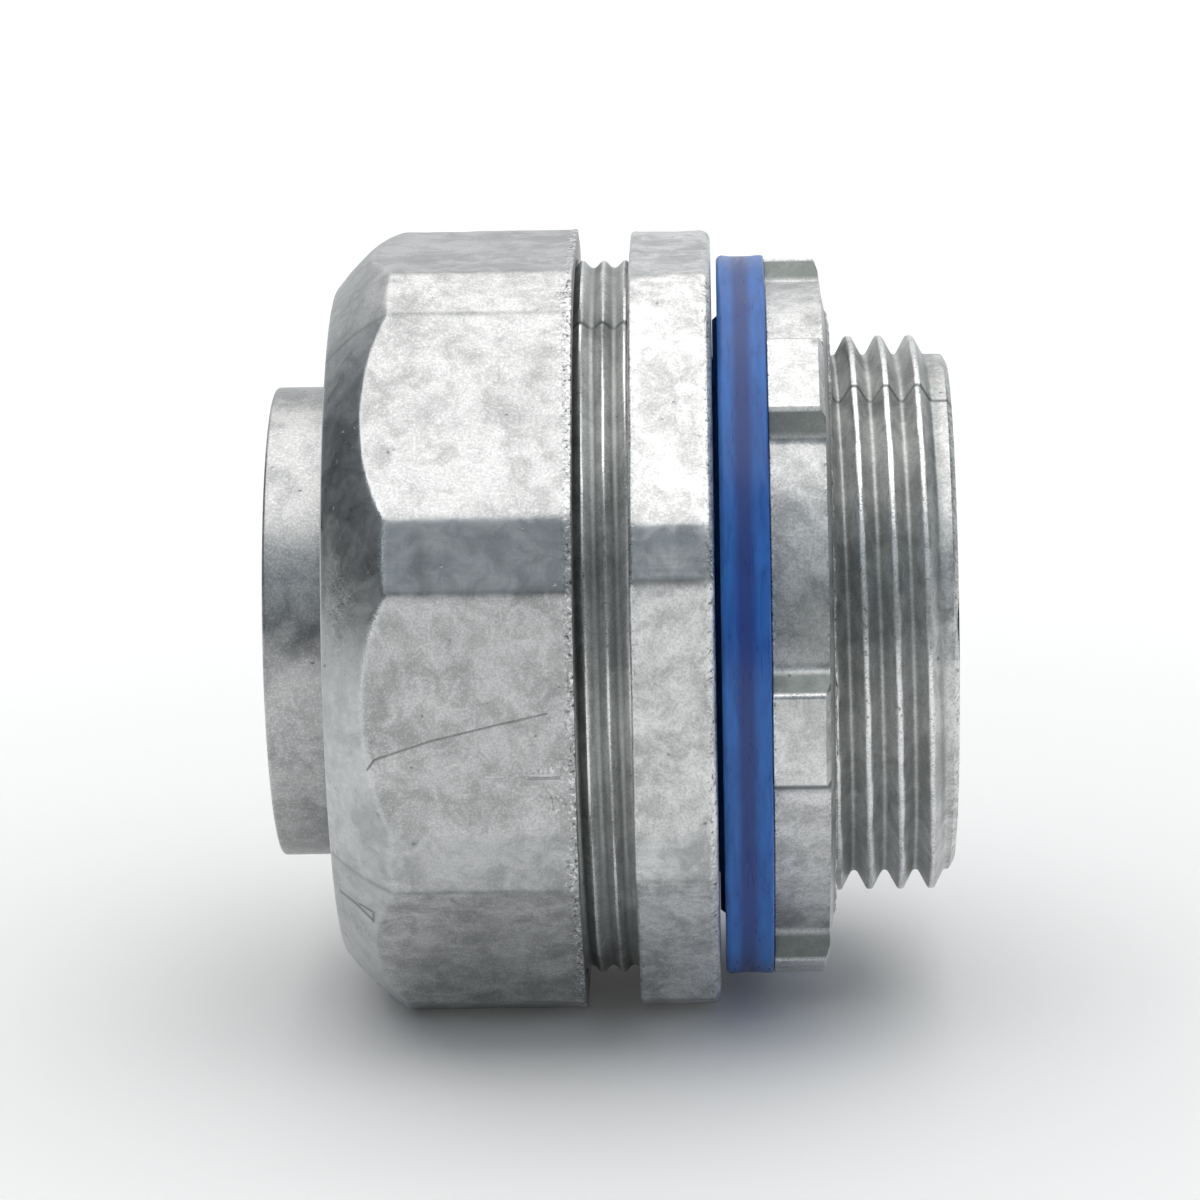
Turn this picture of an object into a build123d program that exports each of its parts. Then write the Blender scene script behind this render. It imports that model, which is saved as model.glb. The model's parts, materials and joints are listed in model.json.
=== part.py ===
from build123d import *
import os
from dataclasses import dataclass
from math import cos, radians, tan

# Straight liquid-tight conduit connector, trade size 1-1/4, in die-cast zinc. Millimetres.
#
# The connector's axis is X. The origin is on the axis, in the wall-side face of the octagonal
# flange. +X points out through the threaded hub, -X out through the conduit entry, and +Z is up
# with the connector lying on one flat of its octagons.

# ---- driving dimensions -------------------------------------------------------------------

INCH = 25.4

# hub thread G 1-1/4 (11 threads per inch, 55 degrees); gland thread 16 per inch, shallow, rounded
HUB_PITCH = INCH / 11
HUB_CREST_R = 41.910 / 2
HUB_ROOT_R = 38.952 / 2
HUB_FLANK_ANGLE = 27.5
HUB_CREST_RISE = 0.17
GLAND_PITCH = INCH / 16
GLAND_CREST_R = 26.92
GLAND_ROOT_R = 26.35
GLAND_FLANK_ANGLE = 40.0
GLAND_CREST_RISE = 0.12
THREAD_GAP = 0.14  # between the flanks, crests and roots of a mated pair
RIDGE_SINK = 0.08  # how far a thread's ridge is sunk into its blank
CREST_ANGLE = 166.0  # clock angle about +X, from +Y to +Z, where the crests below are set out
HUB_CREST_X = 15.42
GLAND_CREST_X = -7.62

# connector body
FLANGE_WIDTH = 6.03
FLANGE_APOTHEM = 27.96
FLANGE_CORNER_R = 29.48
FLANGE_WALL_ROUND = 0.80
FLANGE_GLAND_ROUND = 0.40
HUB_START_X = 1.12  # first crest, next to the flange
HUB_LAST_ANGLE = 293.25  # the last crest stops here, on the parting plane of the casting
HUB_END_X = 17.60
HUB_CHAMFER_X = 0.35
HUB_CHAMFER_R = 0.60
BORE_R = 17.20
BORE_EDGE = 0.50
BORE_CONE_X = -9.00
SEAT_X = -12.00  # shoulder behind the ferrule
SEAT_INNER_R = 18.40
MOUTH_X = -17.50  # conduit-side end
MOUTH_R = 23.75
MOUTH_EDGE = 0.40
GLAND_LEAD_IN = 0.90

# gland nut
NUT_FRONT_X = -28.09
NUT_BACK_X = -10.02
NUT_APOTHEM = 28.30
NUT_CORNER_R = 29.63
NUT_FRONT_R = 25.05  # where the front face turns into the shoulder
NUT_SHOULDER_X = -23.20  # where the shoulder reaches the corner flats
NUT_SHOULDER_BULGE = 0.37
NUT_OPENING_R = 21.35
NUT_OPENING_EDGE = 0.30
NUT_CONE_X = -25.90
NUT_CONE_SLOPE = 1.5  # rise in radius along X
NUT_CAVITY_R = 26.15
NUT_RELIEF_X = -21.60  # room for the sleeve's end when the nut is tight
NUT_RELIEF_R = 27.15
NUT_THREAD_X = -20.10
NUT_BACK_EDGE = 0.60

# ferrule
FERRULE_END_X = -32.91
FERRULE_R = 17.73
FERRULE_BORE_R = 16.20
FERRULE_EDGE = 0.30
FERRULE_LEAD_IN = 0.60
FERRULE_BACK_X = -12.10
FERRULE_FLOOR_X = -13.60
COLLAR_X = -17.25
COLLAR_R = 23.55
COLLAR_INNER_R = 21.65
COLLAR_EDGE = 0.30

# compression ring
RING_INNER_R = 21.55
RING_OUTER_R = 25.85
RING_NOSE_X = -25.40
RING_BACK_X = -21.60
RING_CONE_GAP = 0.20  # to the nut's inner cone, along X
RING_BACK_CHAMFER = 0.70
RING_GROOVES = 2
RING_GROOVE_PITCH = 1.10
RING_GROOVE_R = 0.28
RING_GROOVE_SHIFT = 0.30  # from the ring's middle toward its back

# face gasket
GASKET_LIP_X = 0.06
GASKET_FACE_X = 0.42
GASKET_BACK_X = 3.97
GASKET_R = 27.15
GASKET_BORE_R = 21.12
GASKET_LIP_R = 22.30
GASKET_LIP_FOOT_R = 22.60
GASKET_FACE_ROUND = 0.45
GASKET_BACK_ROUND = 0.20

# locknut
LOCKNUT_FACE_X = 4.00
LOCKNUT_BACK_X = 8.12
LOCKNUT_BOSS_X = 8.75
LOCKNUT_RIM_R = 25.00
LUG_R = 27.10
LUG_CHAMFER_X = 7.75
LUG_CHAMFER_R = 26.00
BOSS_FOOT_X = 8.50
BOSS_FOOT_R = 22.90
BOSS_R = 22.40
BOSS_INNER_R = 21.30
LOCKNUT_BORE_R = 19.66
LUG_COUNT = 6
LUG_ANGLE = 5.8
LUG_TIP_WIDTH = 6.60
LUG_SIDE_ANGLE = 25.5  # between a lug's side and the radius through its middle
LUG_FOOT_ROUND = 0.80

FACETS = 8
HIDDEN = 1.0  # overlap that joins two shapes inside the metal


# ---- shared shapes ------------------------------------------------------------------------


@dataclass
class Thread:
    """A single-start right-hand thread along X, described by the ridge on its male part."""

    pitch: float
    crest_r: float
    root_r: float
    flank_angle: float  # between a flank and a plane across the axis
    crest_rise: float  # height of the rounded crest above the flanks
    crest_x: float  # a crest's place at CREST_ANGLE

    def angle_at(self, x):
        """Clock angle where the crest crosses x."""
        return CREST_ANGLE + 360 * (x - self.crest_x) / self.pitch

    def x_at(self, angle):
        """Place of the crest at a clock angle."""
        return self.crest_x + self.pitch * (angle - CREST_ANGLE) / 360


hub_thread = Thread(
    HUB_PITCH, HUB_CREST_R, HUB_ROOT_R, HUB_FLANK_ANGLE, HUB_CREST_RISE, HUB_CREST_X
)
gland_thread = Thread(
    GLAND_PITCH, GLAND_CREST_R, GLAND_ROOT_R, GLAND_FLANK_ANGLE, GLAND_CREST_RISE, GLAND_CREST_X
)


def thread_ridge(thread, x_from, x_to, gap=0.0):
    """The ridge of a thread between two crest places, grown by a gap all round."""
    base_r = thread.root_r + gap - RIDGE_SINK
    flank_r = thread.crest_r + gap - thread.crest_rise
    middle_r = (thread.crest_r + thread.root_r) / 2
    flank_angle = radians(thread.flank_angle)

    def half_width(radius):
        return thread.pitch / 4 + (middle_r - radius) * tan(flank_angle) + gap / cos(flank_angle)

    with BuildPart() as ridge:
        with BuildLine() as path:
            Helix(thread.pitch, x_to - x_from, middle_r)
        with BuildSketch(Plane.XZ):
            with BuildLine():
                ThreePointArc(
                    (flank_r, -half_width(flank_r)),
                    (thread.crest_r + gap, 0),
                    (flank_r, half_width(flank_r)),
                )
                Polyline(
                    (flank_r, half_width(flank_r)),
                    (base_r, half_width(base_r)),
                    (base_r, -half_width(base_r)),
                    (flank_r, -half_width(flank_r)),
                )
            make_face()
        sweep(path=path.wires()[0], is_frenet=True)

    first_crest = Vector(0, 1, 0).rotate(Axis.X, thread.angle_at(x_from))
    start = Plane(origin=(x_from, 0, 0), x_dir=first_crest, z_dir=(1, 0, 0))
    return ridge.part.moved(start.location)


def octagon(apothem, corner_r):
    """An octagon lying on one flat, its corners cut by narrow flats that reach corner_r."""
    half_flat = (corner_r**2 - apothem**2) ** 0.5
    corner_apothem = Vector(apothem, half_flat).rotate(Axis.Z, -180 / FACETS).X
    RegularPolygon(apothem, FACETS, major_radius=False, rotation=180 / FACETS)
    RegularPolygon(corner_apothem, FACETS, major_radius=False, mode=Mode.INTERSECT)


# ---- connector body -----------------------------------------------------------------------

with BuildPart() as connector_body:
    with BuildSketch(Plane.YZ.offset(-FLANGE_WIDTH)):
        octagon(FLANGE_APOTHEM, FLANGE_CORNER_R)
    extrude(amount=FLANGE_WIDTH)
    fillet(edges().group_by(Axis.X)[-1], FLANGE_WALL_ROUND)
    fillet(edges().group_by(Axis.X)[0], FLANGE_GLAND_ROUND)

    # blanks of the gland sleeve and the hub; the sleeve's is long by a few turns
    sleeve_blank_x = MOUTH_X - 2 * GLAND_PITCH
    with BuildSketch(Plane.XZ):
        with BuildLine():
            Polyline(
                (sleeve_blank_x, 0),
                (sleeve_blank_x, GLAND_ROOT_R),
                (HIDDEN - FLANGE_WIDTH, GLAND_ROOT_R),
                (HIDDEN - FLANGE_WIDTH, HUB_ROOT_R),
                (HUB_END_X, HUB_ROOT_R),
                (HUB_END_X, 0),
                close=True,
            )
        make_face()
    revolve(axis=Axis.X)
    add(thread_ridge(hub_thread, HUB_START_X, hub_thread.x_at(HUB_LAST_ANGLE)))
    add(thread_ridge(gland_thread, MOUTH_X - GLAND_PITCH, -FLANGE_WIDTH + GLAND_PITCH / 2))

    # the sleeve cut to length, with a lead-in for the nut
    with BuildSketch(Plane.XZ):
        with BuildLine():
            Polyline(
                (MOUTH_X, 0),
                (MOUTH_X, GLAND_CREST_R - GLAND_LEAD_IN),
                (MOUTH_X + GLAND_LEAD_IN + HIDDEN, GLAND_CREST_R + HIDDEN),
                (sleeve_blank_x - HIDDEN, GLAND_CREST_R + HIDDEN),
                (sleeve_blank_x - HIDDEN, 0),
                close=True,
            )
        make_face()
    revolve(axis=Axis.X, mode=Mode.SUBTRACT)

    # the hub's end chamfer
    with BuildSketch(Plane.XZ):
        with BuildLine():
            Polyline(
                (HUB_END_X - HUB_CHAMFER_X, HUB_ROOT_R),
                (HUB_END_X, HUB_ROOT_R - HUB_CHAMFER_R),
                (HUB_END_X + HIDDEN, HUB_ROOT_R - HUB_CHAMFER_R),
                (HUB_END_X + HIDDEN, HUB_ROOT_R + HIDDEN),
                (HUB_END_X - HUB_CHAMFER_X, HUB_ROOT_R + HIDDEN),
                close=True,
            )
        make_face()
    revolve(axis=Axis.X, mode=Mode.SUBTRACT)

    # the way through: mouth, ferrule seat, throat cone and wire bore
    with BuildSketch(Plane.XZ):
        with BuildLine():
            Polyline(
                (MOUTH_X - HIDDEN, 0),
                (MOUTH_X - HIDDEN, MOUTH_R + MOUTH_EDGE),
                (MOUTH_X, MOUTH_R + MOUTH_EDGE),
                (MOUTH_X + MOUTH_EDGE, MOUTH_R),
                (SEAT_X, MOUTH_R),
                (SEAT_X, SEAT_INNER_R),
                (BORE_CONE_X, BORE_R),
                (HUB_END_X - BORE_EDGE, BORE_R),
                (HUB_END_X, BORE_R + BORE_EDGE),
                (HUB_END_X + HIDDEN, BORE_R + BORE_EDGE),
                (HUB_END_X + HIDDEN, 0),
                close=True,
            )
        make_face()
    revolve(axis=Axis.X, mode=Mode.SUBTRACT)

connector_body.part.label = "connector_body"


# ---- gland nut ----------------------------------------------------------------------------

with BuildPart() as gland_nut:
    with BuildSketch(Plane.YZ.offset(NUT_FRONT_X)):
        octagon(NUT_APOTHEM, NUT_CORNER_R)
    extrude(amount=NUT_BACK_X - NUT_FRONT_X)

    # the round shoulder that runs from the front face to the flats
    with BuildSketch(Plane.XZ):
        with BuildLine():
            Line((NUT_FRONT_X, 0), (NUT_FRONT_X, NUT_FRONT_R))
            SagittaArc((NUT_FRONT_X, NUT_FRONT_R), (NUT_SHOULDER_X, NUT_CORNER_R), NUT_SHOULDER_BULGE)
            Polyline(
                (NUT_SHOULDER_X, NUT_CORNER_R),
                (NUT_BACK_X, NUT_CORNER_R + HIDDEN),
                (NUT_BACK_X, 0),
                (NUT_FRONT_X, 0),
            )
        make_face()
    revolve(axis=Axis.X, mode=Mode.INTERSECT)

    # opening for the conduit, cone and cavity for the ring, relief, bore for the thread
    cavity_x = NUT_CONE_X + (NUT_CAVITY_R - NUT_OPENING_R) / NUT_CONE_SLOPE
    thread_bore_r = GLAND_ROOT_R + THREAD_GAP
    with BuildSketch(Plane.XZ):
        with BuildLine():
            Polyline(
                (NUT_FRONT_X - HIDDEN, 0),
                (NUT_FRONT_X - HIDDEN, NUT_OPENING_R + NUT_OPENING_EDGE),
                (NUT_FRONT_X, NUT_OPENING_R + NUT_OPENING_EDGE),
                (NUT_FRONT_X + NUT_OPENING_EDGE, NUT_OPENING_R),
                (NUT_CONE_X, NUT_OPENING_R),
                (cavity_x, NUT_CAVITY_R),
                (NUT_RELIEF_X, NUT_CAVITY_R),
                (NUT_RELIEF_X, NUT_RELIEF_R),
                (NUT_THREAD_X, NUT_RELIEF_R),
                (NUT_THREAD_X, thread_bore_r),
                (NUT_BACK_X - NUT_BACK_EDGE, thread_bore_r),
                (NUT_BACK_X, thread_bore_r + NUT_BACK_EDGE),
                (NUT_BACK_X + HIDDEN, thread_bore_r + NUT_BACK_EDGE),
                (NUT_BACK_X + HIDDEN, 0),
                close=True,
            )
        make_face()
    revolve(axis=Axis.X, mode=Mode.SUBTRACT)
    groove_start = (NUT_RELIEF_X + NUT_THREAD_X) / 2
    add(
        thread_ridge(gland_thread, groove_start, NUT_BACK_X + GLAND_PITCH, THREAD_GAP),
        mode=Mode.SUBTRACT,
    )

gland_nut.part.label = "gland_nut"


# ---- ferrule ------------------------------------------------------------------------------

with BuildPart() as ferrule:
    with BuildSketch(Plane.XZ):
        with BuildLine():
            Polyline(
                (FERRULE_END_X, FERRULE_BORE_R + FERRULE_EDGE),
                (FERRULE_END_X, FERRULE_R - FERRULE_EDGE),
                (FERRULE_END_X + FERRULE_EDGE, FERRULE_R),
                (FERRULE_FLOOR_X, FERRULE_R),
                (FERRULE_FLOOR_X, COLLAR_INNER_R),
                (COLLAR_X, COLLAR_INNER_R),
                (COLLAR_X, COLLAR_R - COLLAR_EDGE),
                (COLLAR_X + COLLAR_EDGE, COLLAR_R),
                (FERRULE_BACK_X, COLLAR_R),
                (FERRULE_BACK_X, FERRULE_BORE_R + FERRULE_LEAD_IN),
                (FERRULE_BACK_X - FERRULE_LEAD_IN, FERRULE_BORE_R),
                (FERRULE_END_X + FERRULE_EDGE, FERRULE_BORE_R),
                close=True,
            )
        make_face()
    revolve(axis=Axis.X)

ferrule.part.label = "ferrule"


# ---- compression ring ---------------------------------------------------------------------


def ring_cone_x(radius):
    """Where the ring's cone reaches a radius, one gap behind the nut's cone."""
    return NUT_CONE_X + RING_CONE_GAP + (radius - NUT_OPENING_R) / NUT_CONE_SLOPE


with BuildPart() as compression_ring:
    nose_r = NUT_OPENING_R + (RING_NOSE_X - ring_cone_x(NUT_OPENING_R)) * NUT_CONE_SLOPE
    with BuildSketch(Plane.XZ):
        with BuildLine():
            Polyline(
                (RING_NOSE_X, RING_INNER_R),
                (RING_NOSE_X, nose_r),
                (ring_cone_x(RING_OUTER_R), RING_OUTER_R),
                (RING_BACK_X - RING_BACK_CHAMFER, RING_OUTER_R),
                (RING_BACK_X, RING_OUTER_R - RING_BACK_CHAMFER),
                (RING_BACK_X, RING_INNER_R),
                close=True,
            )
        make_face()
        with Locations(((RING_NOSE_X + RING_BACK_X) / 2 + RING_GROOVE_SHIFT, RING_INNER_R)):
            with GridLocations(RING_GROOVE_PITCH, 0, RING_GROOVES, 1):
                Circle(RING_GROOVE_R, mode=Mode.SUBTRACT)
    revolve(axis=Axis.X)

compression_ring.part.label = "compression_ring"


# ---- face gasket --------------------------------------------------------------------------

with BuildPart() as face_gasket:
    with BuildSketch(Plane.XZ):
        with BuildLine():
            Polyline(
                (GASKET_LIP_X, GASKET_BORE_R),
                (GASKET_LIP_X, GASKET_LIP_R),
                (GASKET_FACE_X, GASKET_LIP_FOOT_R),
                (GASKET_FACE_X, GASKET_R),
                (GASKET_BACK_X, GASKET_R),
                (GASKET_BACK_X, GASKET_BORE_R),
                close=True,
            )
        make_face()
        fillet(vertices().group_by(Axis.Y)[-1].sort_by(Axis.X)[:1], GASKET_FACE_ROUND)
        fillet(vertices().group_by(Axis.Y)[-1].sort_by(Axis.X)[-1:], GASKET_BACK_ROUND)
    revolve(axis=Axis.X)

face_gasket.part.label = "face_gasket"


# ---- locknut ------------------------------------------------------------------------------


def lug_half_width(radius):
    """Half the width of a lug at a distance from the axis."""
    return LUG_TIP_WIDTH / 2 + (LUG_R - radius) * tan(radians(LUG_SIDE_ANGLE))


with BuildPart() as locknut:
    with BuildSketch(Plane.YZ.offset(LOCKNUT_FACE_X)):
        with PolarLocations(0, LUG_COUNT, start_angle=LUG_ANGLE):
            Polygon(
                (LOCKNUT_RIM_R - HIDDEN, lug_half_width(LOCKNUT_RIM_R - HIDDEN)),
                (LOCKNUT_RIM_R - HIDDEN, -lug_half_width(LOCKNUT_RIM_R - HIDDEN)),
                (LUG_R + HIDDEN, -lug_half_width(LUG_R + HIDDEN)),
                (LUG_R + HIDDEN, lug_half_width(LUG_R + HIDDEN)),
                align=None,
            )
        Circle(LUG_R, mode=Mode.INTERSECT)
        Circle(LOCKNUT_RIM_R)
        fillet(vertices().group_by(SortBy.DISTANCE)[0], LUG_FOOT_ROUND)
    extrude(amount=LOCKNUT_BOSS_X - LOCKNUT_FACE_X)

    # turned section: flat front face, cut lug corners, dished back face and low boss
    with BuildSketch(Plane.XZ):
        with BuildLine():
            Polyline(
                (LOCKNUT_FACE_X, LOCKNUT_BORE_R),
                (LOCKNUT_FACE_X, LUG_R + HIDDEN),
                (LUG_CHAMFER_X, LUG_R + HIDDEN),
                (LUG_CHAMFER_X, LUG_R),
                (LOCKNUT_BACK_X, LUG_CHAMFER_R),
                (LOCKNUT_BACK_X, LOCKNUT_RIM_R),
                (BOSS_FOOT_X, BOSS_FOOT_R),
                (LOCKNUT_BOSS_X, BOSS_R),
                (LOCKNUT_BOSS_X, LOCKNUT_BORE_R),
                close=True,
            )
        make_face()
    revolve(axis=Axis.X, mode=Mode.INTERSECT)
    add(
        thread_ridge(hub_thread, LOCKNUT_FACE_X - HUB_PITCH, LOCKNUT_BOSS_X + HUB_PITCH, THREAD_GAP),
        mode=Mode.SUBTRACT,
    )

    # countersinks at both ends of the thread
    with BuildSketch(Plane.XZ):
        countersink = BOSS_INNER_R - LOCKNUT_BORE_R
        with BuildLine():
            Polyline(
                (LOCKNUT_FACE_X - HIDDEN, 0),
                (LOCKNUT_FACE_X - HIDDEN, BOSS_INNER_R),
                (LOCKNUT_FACE_X, BOSS_INNER_R),
                (LOCKNUT_FACE_X + countersink, LOCKNUT_BORE_R),
                (LOCKNUT_FACE_X + countersink, 0),
                close=True,
            )
            Polyline(
                (LOCKNUT_BOSS_X + HIDDEN, 0),
                (LOCKNUT_BOSS_X + HIDDEN, BOSS_INNER_R),
                (LOCKNUT_BOSS_X, BOSS_INNER_R),
                (LOCKNUT_BOSS_X - countersink, LOCKNUT_BORE_R),
                (LOCKNUT_BOSS_X - countersink, 0),
                close=True,
            )
        make_face()
    revolve(axis=Axis.X, mode=Mode.SUBTRACT)

locknut.part.label = "locknut"


# ---- parts --------------------------------------------------------------------------------

os.makedirs("parts", exist_ok=True)

export_step(connector_body.part, "parts/connector_body.step")
export_step(gland_nut.part, "parts/gland_nut.step")
export_step(ferrule.part, "parts/ferrule.step")
export_step(compression_ring.part, "parts/compression_ring.step")
export_step(face_gasket.part, "parts/face_gasket.step")
export_step(locknut.part, "parts/locknut.step")
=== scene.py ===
"""Straight liquid-tight conduit connector: the looks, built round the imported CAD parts.

Every visible piece is a ring about the X axis. A piece is made of bands, each a grid of points with
one row per station along the section and one column per clock angle (about +X, from +Y to +Z).
Lengths are in millimetres until a mesh is made.
"""

import json
import math

import bpy
import numpy as np
from mathutils import Matrix, Vector


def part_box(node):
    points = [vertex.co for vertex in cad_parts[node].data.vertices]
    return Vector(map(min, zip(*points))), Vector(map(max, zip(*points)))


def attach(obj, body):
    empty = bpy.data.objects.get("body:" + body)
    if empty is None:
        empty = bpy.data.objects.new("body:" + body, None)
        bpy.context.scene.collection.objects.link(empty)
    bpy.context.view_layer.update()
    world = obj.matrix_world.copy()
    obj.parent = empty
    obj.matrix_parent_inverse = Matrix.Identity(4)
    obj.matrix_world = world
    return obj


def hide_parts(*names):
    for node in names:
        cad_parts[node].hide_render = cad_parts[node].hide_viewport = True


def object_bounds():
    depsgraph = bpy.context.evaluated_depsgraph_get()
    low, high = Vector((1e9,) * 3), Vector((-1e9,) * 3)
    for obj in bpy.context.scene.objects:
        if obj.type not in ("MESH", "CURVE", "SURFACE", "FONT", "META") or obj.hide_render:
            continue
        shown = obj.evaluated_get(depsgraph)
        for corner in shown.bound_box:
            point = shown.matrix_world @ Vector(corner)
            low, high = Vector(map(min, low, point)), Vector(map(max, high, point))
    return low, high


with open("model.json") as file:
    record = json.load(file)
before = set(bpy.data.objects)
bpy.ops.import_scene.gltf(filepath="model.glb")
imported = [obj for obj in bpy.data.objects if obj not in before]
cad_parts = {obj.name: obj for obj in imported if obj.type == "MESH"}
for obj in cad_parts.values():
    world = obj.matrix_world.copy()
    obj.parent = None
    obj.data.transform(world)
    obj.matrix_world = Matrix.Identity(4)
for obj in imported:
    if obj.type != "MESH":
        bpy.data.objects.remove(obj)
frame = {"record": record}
cad_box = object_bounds()

MM = 0.001
FAR = 99.0  # a radius beyond every piece

# what a mesh carries from 0 to 1: lighter from wear and painted highlight, darker from dirt and painted
# shade, smooth and dull with a painted bluish shade, pitted and flecked
MARKS = ("wear_and_highlight", "dirt_and_shade", "dull_skin_and_shade", "fray")


def node_span(node):
    """First and last x and outer radius of a CAD node."""
    low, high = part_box(node)
    return low.x / MM, high.x / MM, high.y / MM


# ---- sizes -------------------------------------------------------------------------------

BODY_START, BODY_END, FLANGE_APOTHEM = node_span("connector_body")
NUT_START, NUT_END, NUT_APOTHEM = node_span("gland_nut")
FERRULE_START, FERRULE_END, COLLAR_R = node_span("ferrule")
RING_START, RING_END, RING_R = node_span("compression_ring")
GASKET_START, GASKET_END, GASKET_R = node_span("face_gasket")
LOCKNUT_START, LOCKNUT_END, LUG_R = node_span("locknut")

FACETS = 8
FLANGE_START = -6.03
FLANGE_CORNER_R = 29.48
NUT_CORNER_R = 29.63
PARTING_ANGLE = 113.25  # clock angle of the mould's parting plane; the other side is 180 on

# threads: pitch, root radius, ridge height, and a crest's x at CREST_ANGLE
CREST_ANGLE = 166.0
HUB_PITCH = 25.4 / 11
HUB_ROOT_R = 19.476
HUB_RIDGE = 20.955 - HUB_ROOT_R
HUB_CREST_X = 15.42
HUB_FIRST_CREST_X = 1.12
HUB_LAST_CREST_X = 16.236
GLAND_PITCH = 25.4 / 16
GLAND_ROOT_R = 26.35
GLAND_RIDGE = 0.57
GLAND_CREST_X = -7.62
THREAD_GAP = 0.14

BORE_R = 17.2
MOUTH_R = 23.75
SEAT_X = -12.0
SEAT_INNER_R = 18.4
THROAT_X = -9.0
HUB_CHAMFER_X = 0.35
HUB_CHAMFER_R = 0.6
SLEEVE_CHAMFER = 0.33

NUT_FRONT_R = 25.05  # where the front face turns into the shoulder
NUT_SHOULDER_X = -23.2  # where the shoulder reaches the corners
NUT_SHOULDER_BULGE = 0.37
NUT_OPENING_R = 21.35
NUT_CAVITY_R = 26.15
NUT_CONE_X = -22.7
CONE_SLOPE = 1.5  # rise in radius along X
NUT_RELIEF_R = 27.15
NUT_RELIEF_X = -21.6
NUT_THREAD_X = -20.1

SLEEVE_R = 17.73
SLEEVE_BORE_R = 16.2
FERRULE_FLOOR_X = -13.6
COLLAR_X = -17.25
COLLAR_INNER_R = 21.65

RING_INNER_R = 21.55
RING_NOSE_R = 21.83
RING_GROOVE_R = 0.28

GASKET_FACE_X = 0.42
GASKET_BORE_R = 21.12
GASKET_LIP_R = 22.3
GASKET_LIP_FOOT_R = 22.6
GASKET_FACE_ROUND = 0.45
GASKET_BACK_ROUND = 0.2

LUG_COUNT = 6
FIRST_LUG_ANGLE = 5.8
LUG_TIP_WIDTH = 6.6
LUG_SIDE_ANGLE = 25.5
LUG_CHAMFER_X = 7.75
LOCKNUT_RIM_R = 25.0
LOCKNUT_BACK_X = 8.12
BOSS_FOOT_X = 8.5
BOSS_FOOT_R = 22.9
LOCKNUT_MOUTH_R = 21.3


# ---- numbers over grids ------------------------------------------------------------------


def smooth(edge0, edge1, value):
    """0 below edge0, 1 above edge1, smooth between."""
    t = np.clip((value - edge0) / (edge1 - edge0), 0, 1)
    return t * t * (3 - 2 * t)


def soft_min(a, b, soft):
    """The lesser of two surfaces, with the crease between them rounded."""
    return -soft * np.logaddexp(-a / soft, -b / soft)


def eased(distance, radius):
    """How far a rounded edge lies below its corner, a distance in from it."""
    short = np.clip(radius - distance, 0, radius)
    return radius - np.sqrt(radius**2 - short**2)


def turn_gap(angle, centre):
    """Signed degrees from a clock angle to each of the given angles."""
    return (angle - centre + 180) % 360 - 180


def lumps(x, r, angle, size, seed):
    """Smooth noise from -1 to 1 whose bumps are about one size across, in millimetres."""
    turn = np.radians(angle)
    x, y, z = np.broadcast_arrays(x, r * np.cos(turn), r * np.sin(turn))
    place = np.stack((x, y, z), axis=-1) / size + 100
    cell = np.floor(place).astype(int)
    part = place - cell
    part = part * part * (3 - 2 * part)
    table = np.random.default_rng(seed).uniform(-1, 1, (32, 32, 32))
    total = np.zeros(x.shape)
    for corner in np.ndindex(2, 2, 2):
        at = (cell + corner) % 32
        weight = np.prod(np.where(corner, part, 1 - part), axis=-1)
        total += weight * table[at[..., 0], at[..., 1], at[..., 2]]
    return total


def octagon(angle, apothem, corner_r, soft=0.05):
    """Radius of an octagon with narrow corner flats, its edges slightly rounded."""
    half_flat = math.sqrt(corner_r**2 - apothem**2)
    half_turn = math.pi / FACETS
    corner_apothem = apothem * math.cos(half_turn) + half_flat * math.sin(half_turn)
    radius = np.full(angle.shape, 1e3)
    for side in range(2 * FACETS):
        reach = corner_apothem if side % 2 else apothem
        lean = np.radians(turn_gap(angle, side * 180 / FACETS))
        flat = reach / np.maximum(np.cos(lean), 0.2)
        radius = soft_min(radius, flat, soft)
    return radius


def smooth_flats(angle, apothem, corner_r):
    """How smooth an octagon's flats are: some corner flats and the top flat are, the rest are dappled. The
    smooth ones also get a painted bluish shade.
    """
    half = math.degrees(math.acos(apothem / corner_r))
    half_corner = 180 / FACETS - half
    total = 0 * angle
    for side, strength in ((157.5, 1.0), (202.5, 0.5), (247.5, 0.4), (22.5, 0.9), (337.5, 0.6)):
        off = abs(turn_gap(angle, side))
        total = total + strength * (1 - smooth(half_corner - 0.3, half_corner + 0.3, off))
    return total + 0.4 * (1 - smooth(half - 0.3, half + 0.3, abs(turn_gap(angle, 90))))


def spot(x, angle, place_x, place_angle, size_x, size_angle):
    """1 at a place on a ring, fading to 0 over a size in x and in degrees."""
    return np.exp(-(((x - place_x) / size_x) ** 2) - (turn_gap(angle, place_angle) / size_angle) ** 2)


def edge_dark_lines(x, angle, apothem, corner_r, seed):
    """Dark lines of uneven strength along an octagon's sixteen edges."""
    table = np.random.default_rng(seed).uniform(-0.1, 0.6, 2 * FACETS)
    total = 0 * x * angle
    for centre, strength in zip(octagon_edges(apothem, corner_r), table):
        line = np.exp(-((turn_gap(angle, centre) / 0.45) ** 2)) * max(strength, 0)
        total = total + line * (0.7 + 0.3 * lumps(x, apothem, angle, 1.5, seed))
    return total


def crest_distance(x, angle, pitch, crest_x):
    """Distance along X to the nearest crest, and that crest's x."""
    crest = crest_x + pitch * (angle - CREST_ANGLE) / 360
    turns = np.round((x - crest) / pitch)
    nearest = crest + turns * pitch
    return np.abs(x - nearest), nearest


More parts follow.
